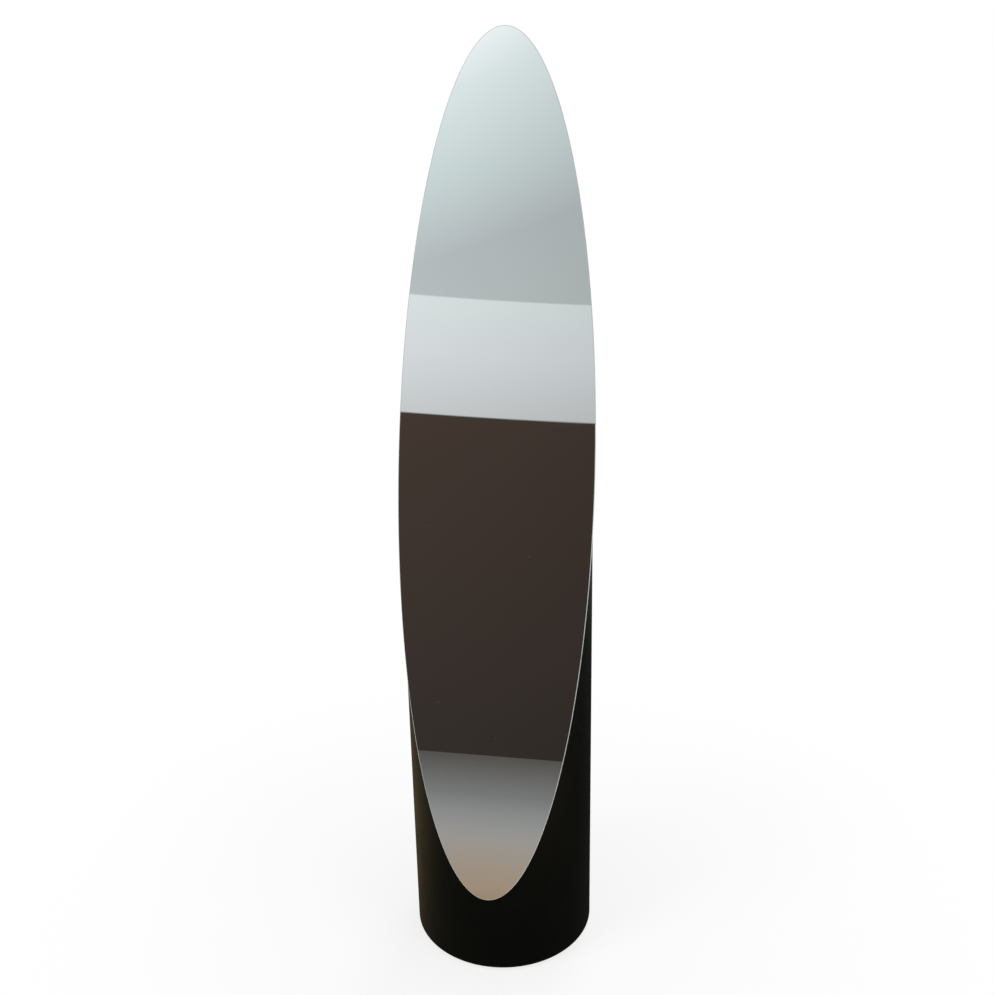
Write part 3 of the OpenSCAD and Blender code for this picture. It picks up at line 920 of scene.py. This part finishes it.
@dataclass
class Tube:
    """The upright tube: a rolled wall with a butt seam, a rounded lower rim and a slanted cut."""

    cut: SlantCut
    outer_r: float
    bore_r: float
    foot_z: float
    sides: int = 288
    rim_round: float = 1.6 * MM
    rim_steps: int = 5
    seam_gap: float = 0.8 * MM
    seam_reach: float = 10 * MM
    spare_h: float = 0.1
    name: str = "tube"

    @classmethod
    def from_frame(cls, cut: SlantCut) -> "Tube":
        """Read the tube's sizes from the frame.

        Args:
            cut: The slanted plane.

        Returns:
            The tube, not built yet.
        """
        low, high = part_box("tube_shell")
        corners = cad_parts["tube_shell"].data.vertices
        bore_r = min(math.hypot(corner.co.x, corner.co.y) for corner in corners)
        return cls(cut, (high.x - low.x) / 2, bore_r, low.z)

    @property
    def rim_top(self) -> float:
        """Height at which the round of the lower rim ends."""
        return self.foot_z + self.rim_round

    def build(self) -> bpy.types.Object:
        """Model the tube.

        Returns:
            The tube's object.
        """
        piece = self._rolled_wall()
        self._round_rim(piece)
        self._cut_slant(piece)
        self._open_seam(piece)
        return piece

    def _rolled_wall(self) -> bpy.types.Object:
        """A round wall of the right thickness, taller than the cut.

        Returns:
            The wall's object.
        """
        start_clean()
        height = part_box("mirror_glass")[1].z + self.spare_h - self.foot_z
        bpy.ops.mesh.primitive_cylinder_add(
            vertices=self.sides, radius=self.outer_r, depth=height, end_fill_type="NOTHING",
            location=(0.0, 0.0, self.foot_z + height / 2))
        piece = bpy.context.object
        piece.name = self.name
        wall = piece.modifiers.new("wall", "SOLIDIFY")
        wall.thickness = self.outer_r - self.bore_r
        wall.offset = -1.0
        bpy.ops.object.modifier_apply(modifier=wall.name)
        settle(piece)
        return piece

    def _round_rim(self, piece: bpy.types.Object) -> None:
        """Round both edges of the lower rim.

        Args:
            piece: The tube's object.
        """
        def on_rim(edge: Any) -> bool:
            """Whether an edge runs round the lower rim."""
            a, b = (corner.co for corner in edge.verts)
            return max(a.z, b.z) < self.rim_top and abs(a.xy.length - b.xy.length) < CLOSE

        edit("EDGE")
        choose(piece, "edges", on_rim)
        bpy.ops.mesh.bevel(offset=self.rim_round, segments=self.rim_steps, profile=0.5, affect="EDGES")
        bpy.ops.object.mode_set(mode="OBJECT")

    def _cut_slant(self, piece: bpy.types.Object) -> None:
        """Cut the tube off along the slant and close the cut edge.

        Args:
            piece: The tube's object.
        """
        edit("EDGE")
        bpy.ops.mesh.select_all(action="SELECT")
        bpy.ops.mesh.bisect(plane_co=self.cut.centre, plane_no=self.cut.out, clear_outer=True)
        choose(piece, "edges", lambda edge: edge.is_boundary)
        bpy.ops.mesh.bridge_edge_loops()
        bpy.ops.object.mode_set(mode="OBJECT")

    def _open_seam(self, piece: bpy.types.Object) -> None:
        """Cut the butt seam through the wall at the back, and close its two walls.

        Args:
            piece: The tube's object.
        """
        def choose_back(reach: float) -> None:
            """Select the wall at the back, as far as a reach to both sides."""
            choose(piece, "faces", lambda face: middle(face).y > 0 and abs(middle(face).x) < reach)

        half = self.seam_gap / 2
        edit("FACE")
        for side in (-half, half):
            choose_back(self.seam_reach)
            bpy.ops.mesh.bisect(plane_co=(side, 0.0, 0.0), plane_no=(1.0, 0.0, 0.0))
        choose_back(half)
        bpy.ops.mesh.delete(type="FACE")
        bpy.ops.mesh.select_mode(type="EDGE")
        for side in (-half, half):
            choose(piece, "edges", lambda edge: edge.is_boundary and edge.verts[0].co.x * side > 0)
            bpy.ops.mesh.edge_face_add()
        bpy.ops.object.mode_set(mode="OBJECT")

    def dress(self, piece: bpy.types.Object, shop: Paintshop) -> None:
        """Give the tube its laminate outside and bare board inside and on the cut.

        Args:
            piece: The tube's object.
            shop: The shop that paints it.
        """
        laminate = BlackLaminate("black laminate", (0.0019, 0.0021, 0.0013), roughness=0.34, specular=0.3,
                                 rim_z=self.foot_z, wall_r=round(self.outer_r, 3))
        shop.cover(piece, laminate, TUBE_INSIDE, TUBE_EDGE)
        for face in piece.data.polygons:
            way_out = Vector((face.center.x, face.center.y, 0.0)).normalized()
            in_seam = abs(face.normal.x) > SAME_WAY and abs(face.center.x) < self.seam_gap
            if in_seam or face.normal.dot(self.cut.out) > SAME_WAY:
                face.material_index = 2
            elif face.normal.dot(way_out) < INWARDS and face.center.z > self.rim_top:
                face.material_index = 1
        seal_edges(piece)
        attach(piece, ROOT)
        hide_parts("tube_shell")


@dataclass
class Mirror:
    """The oval mirror glass: a flat silvered face, a ground edge with both arrises, a painted back."""

    cut: SlantCut
    sides: int = 384
    arris: float = 1.1 * MM
    arris_steps: int = 3
    land: float = 0.4 * MM
    name: str = "mirror"

    def build(self) -> bpy.types.Object:
        """Model the glass.

        Returns:
            The glass's object.
        """
        start_clean()
        bpy.ops.mesh.primitive_circle_add(vertices=self.sides, radius=1.0, fill_type="NGON")
        piece = bpy.context.object
        piece.name = self.name
        edit("FACE")
        bpy.ops.mesh.select_all(action="SELECT")
        bpy.ops.transform.resize(value=(self.cut.half_width, self.cut.half_length, 1.0))
        bpy.ops.mesh.extrude_region_move(TRANSFORM_OT_translate={"value": (0.0, 0.0, self.cut.glass_t)})
        bpy.ops.mesh.select_mode(type="EDGE")
        choose(piece, "edges", lambda edge: abs(edge.verts[0].co.z - edge.verts[1].co.z) < CLOSE)
        bpy.ops.mesh.bevel(offset=self.arris, segments=self.arris_steps, profile=0.5, affect="EDGES")
        bpy.ops.mesh.select_mode(type="FACE")
        choose(piece, "faces", lambda face: abs(face.normal.z) > SAME_WAY)
        bpy.ops.mesh.inset(thickness=self.land, use_individual=True)
        bpy.ops.object.mode_set(mode="OBJECT")
        piece.rotation_euler = Euler((self.cut.lean, 0.0, 0.0))
        piece.location = self.cut.centre
        settle(piece)
        return piece

    def dress(self, piece: bpy.types.Object, shop: Paintshop) -> None:
        """Give the glass its silvered face, ground edge and painted back.

        Args:
            piece: The glass's object.
            shop: The shop that paints it.
        """
        shop.cover(piece, SILVERING, GROUND_EDGE, BACKING_PAINT)
        seal_edges(piece)
        for face in piece.data.polygons:
            facing = face.normal.dot(self.cut.out)
            face.material_index = 0 if facing > SAME_WAY else 2 if facing < -SAME_WAY else 1
            face.use_smooth = abs(facing) < SAME_WAY
        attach(piece, ROOT)
        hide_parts("mirror_glass")


@dataclass
class Woodwork:
    """What is behind the glass: mastic, board, cleats, bulkheads, blocks, batten and screws."""

    cut: SlantCut
    board_ply: float = 1.3 * MM
    edge: float = 0.6 * MM

    def dress(self, shop: Paintshop) -> None:
        """Give the woodwork its finishes.

        Args:
            shop: The shop that paints it.
        """
        board = Plywood("board plywood", (0.46, 0.3, 0.16), roughness=0.62, lean=self.cut.lean,
                        ply=self.board_ply)
        shop.dress(board, "backing_board", broken=self.edge)
        shop.dress(BULKHEAD_PLY, "lower_bulkhead", "upper_bulkhead", broken=self.edge)
        shop.dress(CLEAT_WOOD, "board_cleats", "bulkhead_blocks", broken=self.edge)
        shop.dress(CLEAT_WOOD, "seam_batten")
        shop.dress(ZINC, "board_screws")
        shop.dress(MASTIC, "mastic_dabs")


@dataclass
class Base:
    """The base disc with its cleats, the ballast weight, and what fastens them and the castors."""

    fasteners: tuple[str, ...] = ("base_screws", "ballast_bolts", "ballast_washers", "ballast_nuts",
                                  "castor_screws")
    fastener_edge: float = 0.25 * MM
    disc_edge: float = 0.5 * MM
    ballast_edge: float = 1.5 * MM

    def dress(self, shop: Paintshop) -> None:
        """Give the base its finishes.

        Args:
            shop: The shop that paints it.
        """
        shop.dress(CHIPBOARD, "base_disc", broken=self.disc_edge)
        shop.dress(CLEAT_WOOD, "base_cleats")
        shop.dress(CONCRETE, "ballast_weight", broken=self.ballast_edge)
        shop.dress(ZINC, *self.fasteners, broken=self.fastener_edge)


@dataclass
class Castor:
    """One hooded twin-wheel castor."""

    place: str
    metal_edge: float = 0.25 * MM
    hood_edge: float = 0.5 * MM
    wheel_edge: float = 0.35 * MM

    def nodes(self, *parts: str) -> list[str]:
        """The names of the nodes that are this castor's parts."""
        return [f"castor_{self.place}_{part}" for part in parts]

    def dress(self, shop: Paintshop) -> None:
        """Give the castor its finishes and soft moulded edges.

        Args:
            shop: The shop that paints it.
        """
        shop.dress(ZINC, *self.nodes("plate", "kingpin", "washer", "axle"), broken=self.metal_edge)
        shop.dress(HOOD_NYLON, *self.nodes("hood"), broken=self.hood_edge)
        shop.dress(WHEEL_NYLON, *self.nodes("wheel_left", "wheel_right"), broken=self.wheel_edge)


# ---------- studio ----------


@dataclass(frozen=True)
class PhotoCamera:
    """The photograph's camera, found from the outlines of the glass and the tube."""

    place: Place = (0.3361, -1.7941, 1.4934)
    yaw: float = 10.54
    down: float = 18.745
    roll: float = -1.1998
    focal_px: float = 1100.0
    sensor: float = 36.0

    def build(self) -> None:
        """Set the camera up and make it the scene's."""
        data = bpy.data.cameras.new("photo_camera")
        data.sensor_width = self.sensor
        data.lens = self.focal_px * self.sensor / max(PHOTO_SIZE)
        camera = bpy.data.objects.new("photo_camera", data)
        bpy.context.scene.collection.objects.link(camera)
        matrix = Matrix.Translation(self.place)
        for degrees, axis in ((self.yaw, "Z"), (90.0 - self.down, "X"), (self.roll, "Z")):
            matrix = matrix @ Matrix.Rotation(math.radians(degrees), 4, axis)
        camera.matrix_world = matrix
        bpy.context.scene.camera = camera


@dataclass(frozen=True)
class SoftLamp:
    """A square soft lamp that points at the middle of the mirror."""

    name: str
    place: Place
    side: float
    power: float
    colour: Colour = WHITE
    aim: Place = (0.0, 0.0, 0.7)

    def build(self) -> bpy.types.Object:
        """Hang the lamp.

        Returns:
            The lamp's object.
        """
        data = bpy.data.lights.new(self.name, "AREA")
        data.shape = "SQUARE"
        data.size = self.side
        data.energy = self.power
        data.color = self.colour
        lamp = bpy.data.objects.new(self.name, data)
        bpy.context.scene.collection.objects.link(lamp)
        lamp.location = self.place
        lamp.rotation_euler = (Vector(self.aim) - Vector(self.place)).to_track_quat("-Z", "Y").to_euler()
        return lamp


@dataclass(frozen=True)
class Floor:
    """A level floor, near white to the camera, with the object's soft shadow on it.

    The camera sees paint under the tube and white past its rim and its shadow. A reflection sees a glow of
    painted light and shade instead of the lit paint, whose tones go by how far a place is in front of the
    tube, to its side and from its axis.
    """

    half_width: float = 9.0
    back: float = 9.0
    front: float = 3.8
    paint: Colour = (0.86, 0.86, 0.86)
    past_rim: Fade = (0.146, 0.158, 0.0, 1.0)
    past_shadow: Fade = (0.17, 1.2, 0.76, 1.0)
    # painted light and shade for reflections: a warm glow about a metre in front of the tube, darkening into
    # painted shade further off
    painted_front_tones: Tones = (
        (0.9, (0.375, 0.27, 0.185)), (1.45, (0.375, 0.335, 0.3)), (1.85, (0.32, 0.32, 0.325)),
        (2.5, (0.2, 0.2, 0.205)), (3.8, (0.075, 0.065, 0.056)))
    # painted shade on the floor close to the tube, seen only in reflections
    close_by: Fade = (0.35, 1.0, 1.0, 0.0)
    painted_close_shade: Colour = (0.035, 0.036, 0.03)
    # a painted warm glow to the tube's left and painted shade to its right, which the tube's sides reflect
    # as sheens
    left_to_right: Fade = (-0.5, 0.2, 0.0, 1.0)
    painted_left_glow: Colour = (0.22, 0.17, 0.1)
    painted_right_shade: Colour = (0.03, 0.032, 0.025)
    far_off: Fade = (1.2, 3.0, 0.0, 1.0)
    far_tone: Colour = (0.4, 0.39, 0.37)
    front_to_side: Fade = (-0.35, 0.1, 0.0, 1.0)
    under_tube: Fade = (0.150, 0.163, 1.0, 0.0)
    # reflections see a painted grey glow under the tube
    painted_under_glow: Colour = (0.4, 0.4, 0.39)

    def build(self) -> None:
        """Lay the floor."""
        start_clean()
        bpy.ops.mesh.primitive_plane_add(size=2.0)
        floor = bpy.context.object
        floor.name = "studio_floor"
        for corner in floor.data.vertices:
            corner.co.x *= self.half_width
            corner.co.y *= self.front if corner.co.y < 0 else self.back
        floor.data.materials.append(self._material())

    def _material(self) -> bpy.types.Material:
        """The floor's material.

        Returns:
            A material that is see-through from below.
        """
        material = bpy.data.materials.new("studio floor")
        build = Shader(bare_tree(material))
        vector = build.coords()
        right, backwards = build.along(vector, "X"), build.along(vector, "Y")
        away = build.add("ShaderNodeVectorMath", {0: vector}, operation="LENGTH").outputs["Value"]
        # painted light in front of the tube, fading into painted shade further off
        tones = [(there / self.front, tone) for there, tone in self.painted_front_tones]
        ahead = build.ramp(build.times(backwards, -1.0 / self.front), tones, curve="B_SPLINE")
        # painted shade close to the tube
        ahead = build.stain(ahead, self.painted_close_shade, away, *self.close_by)
        # beside and behind the tube: painted warm glow to the left, painted shade to the right
        beside = build.stain(self.painted_left_glow, self.painted_right_shade, right, *self.left_to_right)
        beside = build.stain(beside, self.far_tone, away, *self.far_off)
        tone = build.stain(ahead, beside, backwards, *self.front_to_side)
        # under the tube other rays pass through, and reflections see a painted grey glow
        under = build.span(away, *self.under_tube)
        # reflections see this emission of painted light and shade, not the lit paint
        mirrored = build.light("Emission", build.mix(under, tone, self.painted_under_glow))
        paint = build.add("ShaderNodeBsdfDiffuse", {"Color": self.paint}).outputs[0]
        clear = build.add("ShaderNodeBsdfTransparent").outputs[0]
        past_rim, past_shadow = build.span(away, *self.past_rim), build.span(away, *self.past_shadow)
        seen = build.either(build.times(past_rim, past_shadow), paint, build.light("Emission", WHITE))
        camera, sharp = build.rays()
        top = build.either(camera, build.either(under, paint, clear), seen)
        top = build.either(sharp, top, mirrored)
        below = build.add("ShaderNodeNewGeometry").outputs["Backfacing"]
        build.add("ShaderNodeOutputMaterial", {"Surface": build.either(below, top, clear)})
        return material


@dataclass(frozen=True)
class Band:
    """One band of the studio's surroundings, as reflections see it, by the height of the direction."""

    start: float
    tones: Tones
    slope: float = 0.0


@dataclass
class Studio:
    """A plain pale studio: white behind the object, with soft tones around it for the mirror to show."""

    lamps: tuple[SoftLamp, ...] = (
        SoftLamp("key", (-2.6, -2.2, 2.9), 1.6, 62.0, (1.0, 0.985, 0.96)),
        SoftLamp("fill", (3.0, -1.6, 1.9), 2.0, 34.0, (0.96, 0.98, 1.0)),
        SoftLamp("back", (0.6, 3.0, 2.4), 1.8, 40.0),
    )
    floor: Floor = Floor()
    bands: tuple[Band, ...] = (
        Band(-1.0, ((-1.00, (0.04, 0.034, 0.03)), (-0.10, (0.036, 0.028, 0.024)),
                    (0.188, (0.056, 0.038, 0.031)))),
        Band(0.188, ((0.188, (0.56, 0.57, 0.58)), (0.24, (0.66, 0.68, 0.71)), (0.29, (0.7, 0.74, 0.745)))),
        Band(0.290, ((0.29, (0.48, 0.51, 0.515)), (0.345, (0.465, 0.495, 0.515)), (0.40, (0.58, 0.65, 0.66)),
                     (0.47, (0.74, 0.81, 0.82)), (0.505, (0.92, 0.96, 0.97)), (0.62, (0.6, 0.64, 0.65)),
                     (1.00, (0.42, 0.45, 0.46))), slope=0.035),
    )
    band_blur: float = 0.0009
    slope_from: Range = (-0.3, -0.04)
    mirrored_light: Fade = (-0.42, 0.25, 1.17, 0.64)
    matt_light: Fade = (-0.6, 0.6, 0.42, 0.82)
    hung: list[bpy.types.Object] = field(default_factory=list)

    def build(self) -> None:
        """Set up the world, the floor and the lamps."""
        self._world()
        self.floor.build()
        self.hung = [lamp.build() for lamp in self.lamps]

    def keep_lamps_off(self, piece: bpy.types.Object) -> None:
        """Keep the lamps from shining on a piece, so that none shows as a white patch in a mirror.

        Args:
            piece: The piece, which the world still lights.
        """
        unlit = bpy.data.collections.new("unlit by lamps")
        unlit.objects.link(piece)
        unlit.collection_objects[0].light_linking.link_state = "EXCLUDE"
        for lamp in self.hung:
            lamp.light_linking.receiver_collection = unlit

    def _world(self) -> None:
        """White for the camera, soft tones by height for reflections, and plain light for matt things."""
        world = bpy.data.worlds.new("studio")
        bpy.context.scene.world = world
        build = Shader(bare_tree(world))
        towards = build.coords("Generated")
        right, up = build.along(towards, "X"), build.along(towards, "Z")
        tones: Any = self.bands[0].tones[0][1]
        for band in self.bands:
            inside = build.span(up, band.start - self.band_blur, band.start + self.band_blur)
            shift = build.span(right, *self.slope_from, 1.0 + band.slope, 1.0 - band.slope)
            place = build.times(build.plus(up, shift), 0.5)
            own = build.ramp(place, [((height + 1) / 2, colour) for height, colour in band.tones])
            tones = build.mix(inside, tones, own)
        mirrored = build.light("Background", tones, build.span(right, *self.mirrored_light))
        matt = build.light("Background", WHITE, build.span(right, *self.matt_light))
        camera, sharp = build.rays()
        final = build.either(camera, build.either(sharp, matt, mirrored), build.light("Background", WHITE))
        build.add("ShaderNodeOutputWorld", {"Surface": final})


# ---------- the object's own finishes ----------

TUBE_INSIDE = RawBoard("tube inside", (0.3, 0.21, 0.125), roughness=0.8)
TUBE_EDGE = RawBoard("tube cut edge", (0.1, 0.075, 0.05), roughness=0.75, fibre=(0.04, 0.03, 0.02))
SILVERING = Silvering("mirror silver", (0.9, 0.925, 0.915), roughness=0.004)
GROUND_EDGE = GroundGlass("ground glass edge", (0.68, 0.72, 0.7), roughness=0.3)
BACKING_PAINT = BackingPaint("mirror backing paint", (0.2, 0.215, 0.225), roughness=0.5)
MASTIC = Mastic("mirror mastic", (0.66, 0.62, 0.5), roughness=0.45)
CLEAT_WOOD = Softwood("cleat softwood", (0.66, 0.48, 0.27), roughness=0.55)
BULKHEAD_PLY = Plywood("bulkhead plywood", (0.6, 0.45, 0.28), roughness=0.6, grain=Grain.ACROSS,
                       ply=1.5 * MM)
CHIPBOARD = Chipboard("base chipboard", (0.5, 0.37, 0.21), roughness=0.65)
CONCRETE = CastConcrete("ballast concrete", (0.33, 0.325, 0.305), roughness=0.75)
ZINC = ZincPlate("zinc plated steel", (0.66, 0.67, 0.68), roughness=0.24)
HOOD_NYLON = MouldedNylon("hood nylon", (0.016, 0.016, 0.016), roughness=0.42, dusty=0.2)
WHEEL_NYLON = MouldedNylon("wheel nylon", (0.014, 0.014, 0.014), roughness=0.4, dusty=0.25, tread=True)


def main() -> None:
    """Build the studio, the camera and every sub-assembly, in order."""
    logging.basicConfig(level=logging.INFO, format="%(name)s: %(message)s")
    bpy.context.scene.view_settings.view_transform = "Standard"
    PhotoCamera().build()
    studio = Studio()
    studio.build()
    shop = Paintshop()
    cut = SlantCut.from_frame()
    log.info("cut plane leans %.2f degrees at height %.4f m", math.degrees(cut.lean), cut.centre.z)
    for part in (Tube.from_frame(cut), Mirror(cut)):
        piece = part.build()
        part.dress(piece, shop)
        log.info("%s: %d faces", piece.name, len(piece.data.polygons))
    studio.keep_lamps_off(piece)  # the mirror, which is made last
    Woodwork(cut).dress(shop)
    log.info("woodwork dressed")
    Base().dress(shop)
    log.info("base dressed")
    for place in ("front_left", "front_right", "rear_left", "rear_right"):
        Castor(place).dress(shop)
        log.info("castor %s dressed", place)


if __name__ == "__main__":
    main()
